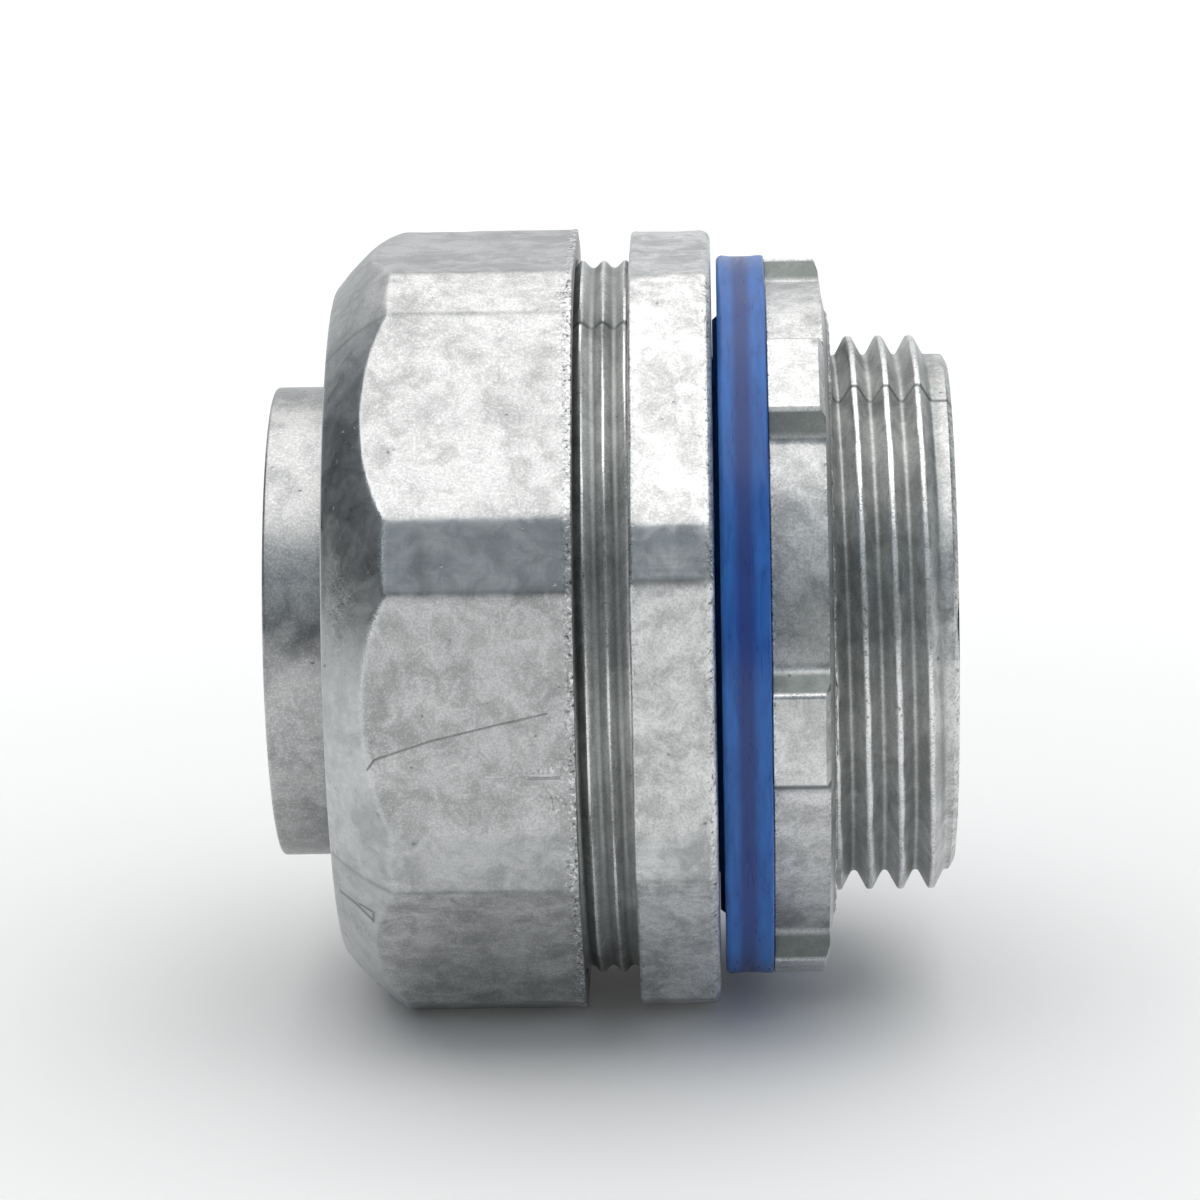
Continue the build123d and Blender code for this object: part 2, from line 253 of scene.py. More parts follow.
def whitworth(distance, pitch, height):
    """Height of a 55 degree thread above its root, rounded at crest and root."""
    round_r = 0.1373 * pitch
    half_angle = math.radians(27.5)
    slope = 1 / math.tan(half_angle)
    half_round = round_r * math.cos(half_angle)
    flank = height / 2 + (pitch / 4 - distance) * slope
    crest = height - round_r + np.sqrt(np.maximum(round_r**2 - distance**2, 0))
    from_root = pitch / 2 - distance
    root = round_r - np.sqrt(np.maximum(round_r**2 - from_root**2, 0))
    lower = np.where(from_root < half_round, root, flank)
    return np.where(distance < half_round, crest, lower)


def hub_ridge(x, angle):
    """Height of the hub's thread above its root; it starts by the flange and stops at the parting plane."""
    distance, nearest = crest_distance(x, angle, HUB_PITCH, HUB_CREST_X)
    shown = smooth(HUB_FIRST_CREST_X - 0.05, HUB_FIRST_CREST_X + 0.05, nearest)
    shown = shown * (1 - smooth(HUB_LAST_CREST_X - 0.02, HUB_LAST_CREST_X + 0.02, nearest))
    return whitworth(distance, HUB_PITCH, HUB_RIDGE) * shown


def gland_ridge(x, angle):
    """Height of the shallow rounded gland thread above its root."""
    distance, _ = crest_distance(x, angle, GLAND_PITCH, GLAND_CREST_X)
    wave = 0.5 + 0.5 * np.cos(2 * np.pi * distance / GLAND_PITCH)
    return GLAND_RIDGE * wave**1.15


# ---- grids and meshes --------------------------------------------------------------------


def stations(start, end, step, ease_start=0.0, ease_end=0.0):
    """Values from start to end, closer together over rounded ends. One column."""
    way = 1 if end > start else -1
    length = abs(end - start)
    places = [np.linspace(0, length, max(2, int(length / step) + 2))]
    arc = 1 - np.cos(np.linspace(0, np.pi / 2, 6))
    if ease_start:
        places.append(ease_start * arc)
    if ease_end:
        places.append(length - ease_end * arc)
    return start + way * np.unique(np.round(np.concatenate(places), 5))[:, None]


def columns(step, fine_at=(), reach=1.5, fine=0.25):
    """Clock angles in degrees round the full turn, closer together near chosen angles. One row."""
    places = [np.arange(0, 360, step)]
    for centre in fine_at:
        places.append(np.arange(centre - reach, centre + reach + fine / 2, fine) % 360)
    angle = np.unique(np.round(np.concatenate(places), 3))
    gaps = np.diff(np.append(angle, angle[0] + 360))
    return angle[gaps > fine * 0.6][None, :]


def octagon_edges(apothem, corner_r):
    """Clock angles of the sixteen edges of a cut octagon."""
    half = math.degrees(math.acos(apothem / corner_r))
    sides = [side * 360 / FACETS for side in range(FACETS)]
    return [side + sign * half for side in sides for sign in (-1, 1)]


class Ring:
    """A closed ring of bands. Each band adds rows of x, radius and the four surface marks."""

    def __init__(self, name, angle):
        self.name = name
        self.angle = angle
        self.rows = {"x": [], "r": [], **{mark: [] for mark in MARKS}}

    def band(self, x, r, wear_and_highlight=0.0, dirt_and_shade=0.0, dull_skin_and_shade=0.0, fray=0.0):
        """Adds a band; every value is broadcast over the band's rows and the ring's columns."""
        shape = np.broadcast_shapes(np.shape(x), np.shape(r), (1, self.angle.size))
        for rows, value in zip(self.rows.values(), (x, r, wear_and_highlight, dirt_and_shade, dull_skin_and_shade, fray)):
            rows.append(np.broadcast_to(value, shape))

    def face(self, x, r_from, r_to, rows, wear_and_highlight=0.0, dirt_and_shade=0.0):
        """Adds a flat band across the axis between two radii."""
        t = np.linspace(0, 1, rows)[:, None]
        self.band(x + 0 * t, r_from * (1 - t) + r_to * t, wear_and_highlight, dirt_and_shade)

    def build(self):
        """Makes the mesh object, in the row frame."""
        x, r, *marks = (np.concatenate(rows) for rows in self.rows.values())
        turn = np.radians(self.angle)
        points = np.stack((x, r * np.cos(turn), r * np.sin(turn)), axis=-1) * MM
        count_rows, count_columns = x.shape
        row = np.arange(count_rows)[:, None] * count_columns
        next_row = (np.arange(count_rows)[:, None] + 1) % count_rows * count_columns
        column = np.arange(count_columns)[None, :]
        next_column = (column + 1) % count_columns
        corners = (row + column, row + next_column, next_row + next_column, next_row + column)
        quads = np.stack(corners, axis=-1).reshape(-1, 4)
        mesh = bpy.data.meshes.new(self.name)
        mesh.from_pydata(points.reshape(-1, 3), [], quads)
        for mark, values in zip(MARKS, marks):
            layer = mesh.attributes.new(mark, "FLOAT", "POINT")
            layer.data.foreach_set("value", np.ascontiguousarray(values, np.float32).ravel())
        mesh.polygons.foreach_set("use_smooth", np.ones(len(quads), bool))
        mesh.set_sharp_from_angle(angle=math.radians(32))
        ring = bpy.data.objects.new(self.name, mesh)
        bpy.context.scene.collection.objects.link(ring)
        return ring


def place(piece, node, material):
    """Puts a finished piece in place of its CAD node, on the node's own body."""
    piece.data.materials.append(material)
    body = next(name for name, members in frame["record"]["behaviour"]["bodies"].items() if node in members)
    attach(piece, body)
    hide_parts(node)


# ---- materials ---------------------------------------------------------------------------


class Shader:
    """A Principled material and short ways to add nodes to it."""

    def __init__(self, name):
        self.material = bpy.data.materials.new(name)
        self.material.use_nodes = True
        self.tree = self.material.node_tree
        self.surface = self.tree.nodes["Principled BSDF"]
        self.where = self.vector("SCALE", self.node("ShaderNodeTexCoord").outputs["Object"], scale=1 / MM)

    def put(self, socket, value):
        """Links a socket to an input, or sets the input's value."""
        if isinstance(value, bpy.types.NodeSocket):
            self.tree.links.new(value, socket)
        else:
            socket.default_value = value

    def node(self, kind, settings=None, **inputs):
        """Adds a node, sets its properties and its inputs by name."""
        node = self.tree.nodes.new(kind)
        for key, value in (settings or {}).items():
            setattr(node, key, value)
        for key, value in inputs.items():
            self.put(node.inputs[key.replace("_", " ")], value)
        return node

    def vector(self, operation, a, b=None, scale=None):
        """Vector maths."""
        node = self.node("ShaderNodeVectorMath", {"operation": operation})
        self.put(node.inputs[0], a)
        if b is not None:
            self.put(node.inputs[1], b)
        if scale is not None:
            self.put(node.inputs["Scale"], scale)
        return node.outputs[0]

    def maths(self, operation, a, b=0.0, clamp=False):
        """Maths on one or two values."""
        node = self.node("ShaderNodeMath", {"operation": operation, "use_clamp": clamp})
        self.put(node.inputs[0], a)
        self.put(node.inputs[1], b)
        return node.outputs[0]

    def noise(self, size, detail=3.0, rough=0.5, warp=0.0, where=None):
        """Noise from 0 to 1 with features about one size across, in millimetres."""
        node = self.node(
            "ShaderNodeTexNoise", Scale=1 / size, Detail=detail, Roughness=rough, Distortion=warp
        )
        self.put(node.inputs["Vector"], where or self.where)
        return node.outputs["Fac"]

    def bend(self, size, amount):
        """A small wandering offset, so that regular patterns lose their regularity."""
        node = self.node("ShaderNodeTexNoise", Scale=1 / size, Detail=2.0)
        self.put(node.inputs["Vector"], self.where)
        return self.vector("SCALE", node.outputs["Color"], scale=amount)

    def near_line(self, points, half_width):
        """1 on a chain of lines given by x and z on the near side, 0 away from it."""
        flat = self.vector("MULTIPLY", self.where, (1, 0, 1))
        total = None
        for (x0, z0), (x1, z1) in zip(points, points[1:]):
            along = Vector((x1 - x0, 0, z1 - z0))
            offset = self.vector("SUBTRACT", flat, (x0, 0, z0))
            dot = self.node("ShaderNodeVectorMath", {"operation": "DOT_PRODUCT"})
            self.put(dot.inputs[0], offset)
            self.put(dot.inputs[1], along / along.length_squared)
            share = self.maths("MULTIPLY", dot.outputs["Value"], 1.0, clamp=True)
            gap = self.node("ShaderNodeVectorMath", {"operation": "DISTANCE"})
            self.put(gap.inputs[0], offset)
            self.put(gap.inputs[1], self.vector("SCALE", tuple(along), scale=share))
            on = self.between(gap.outputs["Value"], half_width * 0.4, half_width, 1.0, 0.0)
            total = on if total is None else self.maths("MAXIMUM", total, on)
        y = self.node("ShaderNodeSeparateXYZ", Vector=self.where).outputs["Y"]
        return self.maths("MULTIPLY", total, self.between(y, -14, -8, 1.0, 0.0))

    def between(self, value, low, high, to_low=0.0, to_high=1.0):
        """Maps a value from one range to another, held at the ends."""
        node = self.node("ShaderNodeMapRange", {"interpolation_type": "SMOOTHSTEP"})
        for socket, number in zip(node.inputs[:5], (value, low, high, to_low, to_high)):
            self.put(socket, number)
        return node.outputs[0]

    def mix(self, factor, a, b):
        """Mixes two colours."""
        node = self.node("ShaderNodeMix", {"data_type": "RGBA"})
        self.put(node.inputs[0], factor)
        self.put(node.inputs[6], (*a, 1) if isinstance(a, tuple) else a)
        self.put(node.inputs[7], (*b, 1) if isinstance(b, tuple) else b)
        return node.outputs[2]

    def drawn(self, key):
        """A value that the mesh carries."""
        return self.node("ShaderNodeAttribute", {"attribute_name": key}).outputs["Fac"]

    def bump(self, height, distance, strength=1.0, under=None):
        """A bump of a height from 0 to 1, its depth in millimetres."""
        node = self.node("ShaderNodeBump", Strength=strength, Distance=distance * MM, Height=height)
        if under is not None:
            self.put(node.inputs["Normal"], under)
        return node.outputs[0]


def cast_zinc(name, light, dark, polish=0.0, scratches_and_painted_ridge=()):
    """As-cast zinc alloy: dappled grey, satin, with fine grain, stains and pits; lighter on edges and crests
    from wear and painted highlights, darker from dirt and painted shade, and a painted bluish shade where
    smooth.
    """
    s = Shader(name)
    cloud = s.noise(7.0, 4, 0.6, 0.8)
    dapple = s.noise(1.9, 6, 0.68, 0.7)
    swirl = s.noise(0.55, 4, 0.65, 0.3)
    frost = s.noise(0.17, 2, 0.5)
    speck = s.noise(0.15, 2, 0.5)
    pits = s.node("ShaderNodeTexVoronoi", {"feature": "F1"}, Scale=1 / 1.3)
    s.put(pits.inputs["Vector"], s.vector("ADD", s.where, s.bend(0.4, 0.5)))
    stain = s.between(s.noise(3.4, 5, 0.7, 1.5), 0.58, 0.70)
    streak = s.noise(1.0, 5, 0.6, 0.2, s.vector("MULTIPLY", s.where, (0.16, 2.4, 2.4)))
    wear_and_highlight, dirt_and_shade, dull_skin_and_shade, fray = (s.drawn(mark) for mark in MARKS)
    rough_skin = s.between(dull_skin_and_shade, 0.0, 0.8, 1.0, 0.4)

    both = s.maths("ADD", s.maths("MULTIPLY", cloud, 0.4), s.maths("MULTIPLY", dapple, 0.6))
    colour = s.mix(s.between(both, 0.38, 0.60), dark, light)
    for grain, low, high, at_low, at_high, tint in (
        (swirl, 0.32, 0.60, 0.30, 0.0, (0.40, 0.41, 0.41)),
        (frost, 0.30, 0.56, 0.34, 0.0, (0.34, 0.35, 0.35)),
        (frost, 0.46, 0.74, 0.0, 0.30, (0.95, 0.95, 0.95)),
    ):
        amount = s.maths("MULTIPLY", s.between(grain, low, high, at_low, at_high), rough_skin)
        colour = s.mix(amount, colour, tint)
    colour = s.mix(s.maths("MULTIPLY", stain, 0.28), colour, (0.32, 0.33, 0.33))
    near_pit = s.between(pits.outputs["Distance"], 0.05, 0.13, 1.0, 0.0)
    pit = s.maths("MULTIPLY", near_pit, s.between(dapple, 0.40, 0.50, 1.0, 0.0))
    colour = s.mix(s.maths("MULTIPLY", pit, 0.55), colour, (0.14, 0.145, 0.145))
    # a dull bluish grey where the skin is smooth: partly a smoother finish, partly painted shade on the
    # nut's shoulder and some flats
    dull_and_shade = s.maths("MULTIPLY", dull_skin_and_shade, s.between(streak, 0.35, 0.65, 0.35, 0.75))
    colour = s.mix(dull_and_shade, colour, (0.45, 0.48, 0.495))
    # dark greenish grey: dirt in places, painted shade in thread roots, bores, gaps between parts and on lug
    # side walls
    dark_dirt_and_shade = s.maths("MULTIPLY", dirt_and_shade, s.between(dapple, 0.3, 0.6, 0.8, 1.0))
    colour = s.mix(dark_dirt_and_shade, colour, (0.098, 0.124, 0.110))
    # near-white: rubbed metal on some edges, painted highlights on thread crests, creases, rims and ledges
    bright = s.maths("MULTIPLY", wear_and_highlight, s.between(speck, 0.38, 0.56, 0.2, 1.0))
    colour = s.mix(bright, colour, (0.93, 0.935, 0.94))
    fleck = s.noise(0.34, 3, 0.6, 0.4)
    dark_fleck = s.maths("MULTIPLY", fray, s.between(fleck, 0.36, 0.43, 0.9, 0.0))
    colour = s.mix(dark_fleck, colour, (0.07, 0.075, 0.075))
    bright_fleck = s.maths("MULTIPLY", fray, s.between(fleck, 0.55, 0.62))
    colour = s.mix(bright_fleck, colour, (0.96, 0.96, 0.96))

    cut = None
    # dark scratches, and lines of painted highlight and painted shadow on a short ridge
    for points, half_width, shade in scratches_and_painted_ridge:
        line = s.maths("MULTIPLY", s.near_line(points, half_width), s.between(swirl, 0.3, 0.5, 0.55, 1.0))
        colour = s.mix(s.maths("MULTIPLY", line, 0.7), colour, (shade, shade, shade))
        cut = line if cut is None else s.maths("MAXIMUM", cut, line)

    rough = s.between(dapple, 0.3, 0.7, 0.34 - polish, 0.46 - polish)
    rough = s.maths("ADD", rough, s.maths("MULTIPLY", dirt_and_shade, 0.12))
    rough = s.maths("SUBTRACT", rough, s.maths("MULTIPLY", wear_and_highlight, 0.14))
    rough = s.maths("SUBTRACT", rough, s.maths("MULTIPLY", dull_skin_and_shade, 0.10), clamp=True)

    rise = s.bump(dapple, 0.03, 0.4)
    rise = s.bump(frost, 0.012, 0.4, rise)
    rise = s.bump(s.maths("SUBTRACT", 1.0, pit), 0.05, 0.6, rise)
    rise = s.bump(s.maths("MULTIPLY", fray, fleck), 0.10, 0.8, rise)
    if cut is not None:
        rise = s.bump(s.maths("SUBTRACT", 1.0, cut), 0.05, 0.8, rise)
    s.put(s.surface.inputs["Base Color"], colour)
    s.put(s.surface.inputs["Metallic"], 0.92)
    s.put(s.surface.inputs["Roughness"], rough)
    s.put(s.surface.inputs["Normal"], rise)
    return s.material


def blue_plastic():
    """Moulded blue polyethylene, waxy, slightly see-through, darker along its middle."""
    s = Shader("blue_plastic")
    x = s.node("ShaderNodeSeparateXYZ", Vector=s.where).outputs["X"]
    streak = s.noise(1.8, 4, 0.6, 0.5, s.vector("MULTIPLY", s.where, (3.0, 0.5, 0.5)))
    cloud = s.noise(9.0, 3, 0.5)
    middle = (GASKET_START + GASKET_END) / 2
    off_middle = s.maths("ABSOLUTE", s.maths("SUBTRACT", x, middle + 0.15))
    core = s.between(off_middle, 0.25, 0.95, 1.0, 0.0)
    colour = s.mix(s.between(streak, 0.3, 0.7), (0.018, 0.110, 0.40), (0.030, 0.170, 0.54))
    colour = s.mix(s.maths("MULTIPLY", core, 0.75), colour, (0.022, 0.030, 0.16))
    # lighter blue on the rounded rims: a painted sheen
    colour = s.mix(s.maths("MULTIPLY", s.drawn("wear_and_highlight"), 0.6), colour, (0.22, 0.42, 0.75))
    colour = s.mix(s.between(cloud, 0.45, 0.7, 0, 0.25), colour, (0.030, 0.060, 0.30))
    s.put(s.surface.inputs["Base Color"], colour)
    s.put(s.surface.inputs["Roughness"], s.between(streak, 0.3, 0.7, 0.26, 0.40))
    s.put(s.surface.inputs["Subsurface Weight"], 0.25)
    s.put(s.surface.inputs["Subsurface Radius"], (0.3, 0.6, 1.6))
    s.put(s.surface.inputs["Subsurface Scale"], 1.0 * MM)
    s.put(s.surface.inputs["Specular IOR Level"], 0.35)
    s.put(s.surface.inputs["Coat Weight"], 0.12)
    s.put(s.surface.inputs["Coat Roughness"], 0.15)
    s.put(s.surface.inputs["Normal"], s.bump(s.noise(0.5, 2, 0.5), 0.006, 0.4))
    return s.material


def nylon():
    """Natural nylon: off-white, waxy, faintly cloudy."""
    s = Shader("nylon")
    cloud = s.noise(3.0, 4, 0.55)
    grain = s.noise(0.25, 3, 0.6)
    colour = s.mix(s.between(cloud, 0.35, 0.65), (0.70, 0.67, 0.58), (0.82, 0.80, 0.72))
    # darker in the bore's grooves: painted shade
    colour = s.mix(s.maths("MULTIPLY", s.drawn("dirt_and_shade"), 0.5), colour, (0.42, 0.40, 0.36))
    s.put(s.surface.inputs["Base Color"], colour)
    s.put(s.surface.inputs["Roughness"], s.between(grain, 0.3, 0.7, 0.38, 0.5))
    s.put(s.surface.inputs["Subsurface Weight"], 0.3)
    s.put(s.surface.inputs["Subsurface Radius"], (1.0, 0.9, 0.7))
    s.put(s.surface.inputs["Subsurface Scale"], 1.0 * MM)
    s.put(s.surface.inputs["Normal"], s.bump(grain, 0.01, 0.4))
    return s.material


# ---- pieces ------------------------------------------------------------------------------


def make_body():
    """Cast body: gland sleeve, octagonal flange and threaded hub."""
    lines = octagon_edges(FLANGE_APOTHEM, FLANGE_CORNER_R)
    angle = columns(1.5, lines + [PARTING_ANGLE, PARTING_ANGLE + 180], 1.2, 0.3)
    ring = Ring("connector_body", angle)
    eight = octagon(angle, FLANGE_APOTHEM, FLANGE_CORNER_R, 0.08)
    parting = np.minimum(abs(turn_gap(angle, PARTING_ANGLE)), abs(turn_gap(angle, PARTING_ANGLE + 180)))
    seam = 1 - smooth(0.2, 0.6, parting)
    # the two halves of the mould met a little out of line
    past_first = smooth(-0.3, 0.3, turn_gap(angle, PARTING_ANGLE))
    before_second = smooth(-0.3, 0.3, turn_gap(PARTING_ANGLE + 180, angle))
    shift = 0.05 * past_first * before_second

    # mouth and gland sleeve
    ring.face(BODY_START, MOUTH_R + 0.4, GLAND_ROOT_R - SLEEVE_CHAMFER, 3)
    x = stations(BODY_START, FLANGE_START, 0.17)
    rise = gland_ridge(x + shift, angle)
    r = np.minimum(GLAND_ROOT_R + rise, GLAND_ROOT_R - SLEEVE_CHAMFER + x - BODY_START)
    # painted highlight along the thread crests; painted shade on the flanks, deepest in the roots; a dark
    # line along the parting line
    crest = smooth(0.90, 1.0, rise / GLAND_RIDGE)
    flank = 0.25 + 0.35 * (1 - smooth(0.0, 0.6, rise / GLAND_RIDGE))
    dirt_and_shade = np.maximum(flank * (1 - crest), 0.9 * seam)
    ring.band(x, r - 0.07 * seam, crest * (1 - seam), dirt_and_shade, fray=0.3 * crest)

    # flange
    # painted shade on the flange's back face, in the gap beside the gland nut
    ring.face(FLANGE_START, GLAND_ROOT_R + 0.02, eight - 0.4, 5, dirt_and_shade=0.25)
    x = stations(FLANGE_START, 0, 0.35, 0.4, 0.8)
    edge = eased(x - FLANGE_START, 0.4) + eased(-x, 0.8)
    dent = 0.04 * (lumps(x, eight, angle, 2.2, 3) - 1) + 0.025 * (lumps(x, eight, angle, 0.9, 4) - 1)
    dent = dent * smooth(0, 0.8, x - FLANGE_START) * smooth(0, 1, -x)
    # smooth flats are dull with a painted bluish shade; rounded edges a little lighter from wear and painted
    # highlight; dark lines along the facet edges
    dull_skin_and_shade = 0.8 * smooth_flats(angle, FLANGE_APOTHEM, FLANGE_CORNER_R)
    fray = 0.8 * smooth(-0.9, -0.3, x) + 0.4 * (1 - smooth(FLANGE_START + 0.2, FLANGE_START + 0.5, x))
    dirt_and_shade = edge_dark_lines(x, angle, FLANGE_APOTHEM, FLANGE_CORNER_R, 31)
    ring.band(x, eight - edge + dent, 0.2 * (edge > 0.02), dirt_and_shade, dull_skin_and_shade, fray)
    ring.face(0, eight - 0.8, HUB_ROOT_R + 0.02, 6)

    # hub
    x = stations(0.0, BODY_END, 0.13)
    rise = hub_ridge(x + shift, angle)
    chamfer_x = BODY_END - HUB_CHAMFER_X
    chamfer = HUB_ROOT_R - (x - chamfer_x) * HUB_CHAMFER_R / HUB_CHAMFER_X
    r = np.minimum(HUB_ROOT_R + rise, np.where(x > chamfer_x, chamfer, FAR))
    # painted highlight along the thread crests; painted shade on the flanks, deepest in the roots and slight
    # on the plain end; a dark line along the parting line
    crest = 0.9 * smooth(0.95, 1.0, rise / HUB_RIDGE)
    plain = smooth(16.4, 16.8, x)
    flank = (0.36 - 0.13 * smooth(0.25, 0.6, rise / HUB_RIDGE)) * (1 - plain) + 0.1 * plain
    flash = 0.035 * (lumps(x, r, angle, 0.6, 5) - 1) * crest
    flash = flash - 0.3 * spot(x, angle, 17.3, 170, 0.35, 4.5) * (1 - 0.6 * lumps(x, r, angle, 0.8, 43))
    ragged = smooth(-0.3, 0.5, lumps(x, r, angle, 2.5, 6))
    end_fray = 0.6 * smooth(BODY_END - 0.6, BODY_END - 0.2, x)
    dirt_and_shade = np.maximum(flank * (1 - crest), 0.9 * seam)
    ring.band(x, r - 0.07 * seam + flash, crest * (1 - seam), dirt_and_shade, fray=crest * ragged + end_fray)

    # end face, bore, throat, ferrule seat and mouth
    ring.face(BODY_END, HUB_ROOT_R - HUB_CHAMFER_R, BORE_R + 0.5, 4)
    ring.band(stations(BODY_END - 0.5, THROAT_X, 2.5), BORE_R + 0 * angle)
    t = np.linspace(0, 1, 4)[1:, None]
    ring.band(THROAT_X + (SEAT_X - THROAT_X) * t, BORE_R + (SEAT_INNER_R - BORE_R) * t + 0 * angle)
    ring.face(SEAT_X, SEAT_INNER_R + 0.05, MOUTH_R, 4)
    ring.band(stations(SEAT_X - 0.05, BODY_START + 0.4, 1.5), MOUTH_R + 0 * angle)
    place(ring.build(), "connector_body", cast_zinc("zinc_body", (0.90, 0.90, 0.895), (0.47, 0.47, 0.47)))


# scratches on the near side of the gland nut: x and z of their points, half their width, their shade. The
# last three mark a short ridge: the two light lines are a painted highlight along its top, the dark line
# under the second a painted shadow.
NUT_SCRATCHES_AND_PAINTED_RIDGE = (
    (((-24.8, -3.9), (-24.3, -3.2), (-20.3, -1.9), (-16.0, -0.9), (-12.0, 0.0)), 0.10, 0.20),
    (((-27.5, -15.1), (-26.3, -15.7), (-25.2, -16.7)), 0.17, 0.16),
    (((-26.0, -15.6), (-25.0, -16.0), (-25.1, -16.9)), 0.15, 0.16),
    (((-16.4, -4.6), (-15.2, -4.6)), 0.14, 0.74),
    (((-13.4, -4.5), (-11.2, -4.5)), 0.12, 0.74),
    (((-13.4, -4.75), (-11.2, -4.75)), 0.12, 0.30),
)


def make_nut():
    """Cast gland nut: cut octagon with a round shoulder, threaded inside."""
    lines = octagon_edges(NUT_APOTHEM, NUT_CORNER_R)
    angle = columns(1.2, lines)
    ring = Ring("gland_nut", angle)
    eight = octagon(angle, NUT_APOTHEM, NUT_CORNER_R, 0.08)

    # the shoulder is an arc from the front face to the corners
    start, end = Vector((NUT_START, NUT_FRONT_R)), Vector((NUT_SHOULDER_X, NUT_CORNER_R))
    chord = end - start
    bulge = NUT_SHOULDER_BULGE
    arc_r = (chord.length_squared / 4 + bulge**2) / (2 * bulge)
    outward = Vector((-chord.y, chord.x)).normalized()
    centre = (start + end) / 2 - outward * (arc_r - bulge)

    ring.face(NUT_START, NUT_OPENING_R + 0.3, NUT_FRONT_R - 0.12, 5)
    x = stations(NUT_START, NUT_END, 0.4, 0.12, 0.15)
    x = np.unique(np.concatenate((x, stations(NUT_START, NUT_SHOULDER_X + 1, 0.16))))[:, None]
    shoulder = centre.y + np.sqrt(arc_r**2 - np.minimum(x - centre.x, 0) ** 2)
    r = soft_min(eight + 0 * x, shoulder + 0 * eight, 0.05)
    edge = eased(x - NUT_START, 0.12) + eased(NUT_END - x, 0.15)
    dent = 0.04 * (lumps(x, r, angle, 2.4, 7) - 1) + 0.025 * (lumps(x, r, angle, 0.9, 8) - 1)
    dent = dent * smooth(0, 0.6, x - NUT_START) * smooth(0, 0.6, NUT_END - x)
    crease = 1 - smooth(0.0, 0.25, abs(shoulder - eight))
    # smooth flats and the shoulder get a dull bluish colour: partly a smoother finish, partly painted shade;
    # on the shoulder less of it towards the top
    dull_skin_and_shade = 0.8 * smooth_flats(angle, NUT_APOTHEM, NUT_CORNER_R) + 0 * x
    top_side = 1 - smooth(15, 50, abs(turn_gap(angle, 90)))
    dull_skin_and_shade = np.maximum(dull_skin_and_shade, (0.85 - 0.6 * top_side) * (1 - smooth(0.0, 0.2, shoulder - r)))
    # knocks: a chipped edge high on the shoulder, casting marks and a rubbed spot on the flats
    chip = spot(x, angle, -26.6, 76, 0.9, 5)
    marks = spot(x, angle, -11.9, 188.2, 1.3, 1.2) + spot(x, angle, -11.6, 193, 0.9, 1.5)
    marks = marks + spot(x, angle, -20.3, 112, 0.4, 2.5)
    smudge = spot(x, angle, -20.8, 158, 0.35, 5)
    # painted highlight: a light band along the crease where the shoulder meets the flats, strongest on the
    # near upper side
    crease_highlight = crease * (0.2 + 0.7 * spot(0, angle, 0, 160, 1, 12))
    heat = spot(x, angle, -26.6, 163, 1.5, 9) * (shoulder < eight + 0.05)
    fray = smooth(NUT_END - 0.9, NUT_END - 0.3, x + 0.35 * lumps(x, r, angle, 3.0, 9))
    fray = np.clip(fray + chip + 0.8 * marks + 0.25 * heat, 0, 1)
    dirt_and_shade = edge_dark_lines(x, angle, NUT_APOTHEM, NUT_CORNER_R, 37)
    dirt_and_shade = np.clip(dirt_and_shade + 0.5 * chip + 0.35 * smudge + 0.3 * heat, 0, 1)
    knock = 0.25 * chip * (1 - lumps(x, r, angle, 0.7, 41))
    ring.band(x, r - edge + dent - knock, crease_highlight, dirt_and_shade, dull_skin_and_shade, fray)
    # painted shade on the back face, in the gap beside the flange
    ring.face(NUT_END, eight - 0.15, GLAND_ROOT_R + THREAD_GAP + 0.6, 5, dirt_and_shade=0.3)

    # threaded bore, relief, cavity, cone and opening
    x = stations(NUT_END - 0.1, NUT_THREAD_X, 0.18)
    groove = GLAND_ROOT_R + THREAD_GAP + gland_ridge(x, angle)
    lead = GLAND_ROOT_R + THREAD_GAP + 0.6 - (NUT_END - x)
    # painted shade inside the threaded bore
    ring.band(x, np.maximum(groove, lead), dirt_and_shade=0.4)
    ring.band(stations(NUT_THREAD_X - 0.02, NUT_RELIEF_X + 0.02, 0.5), NUT_RELIEF_R + 0 * angle)
    ring.band(stations(NUT_RELIEF_X, NUT_CONE_X, 0.5), NUT_CAVITY_R + 0 * angle)
    t = np.linspace(0, 1, 8)[1:, None]
    cone_r = NUT_CAVITY_R + (NUT_OPENING_R - NUT_CAVITY_R) * t
    ring.band(NUT_CONE_X - (NUT_CAVITY_R - NUT_OPENING_R) / CONE_SLOPE * t, cone_r + 0 * angle)
    ring.band(stations(-26.0, NUT_START + 0.3, 0.6), NUT_OPENING_R + 0 * angle)
    zinc = cast_zinc("zinc_nut", (0.68, 0.68, 0.68), (0.37, 0.37, 0.37), scratches_and_painted_ridge=NUT_SCRATCHES_AND_PAINTED_RIDGE)
    place(ring.build(), "gland_nut", zinc)


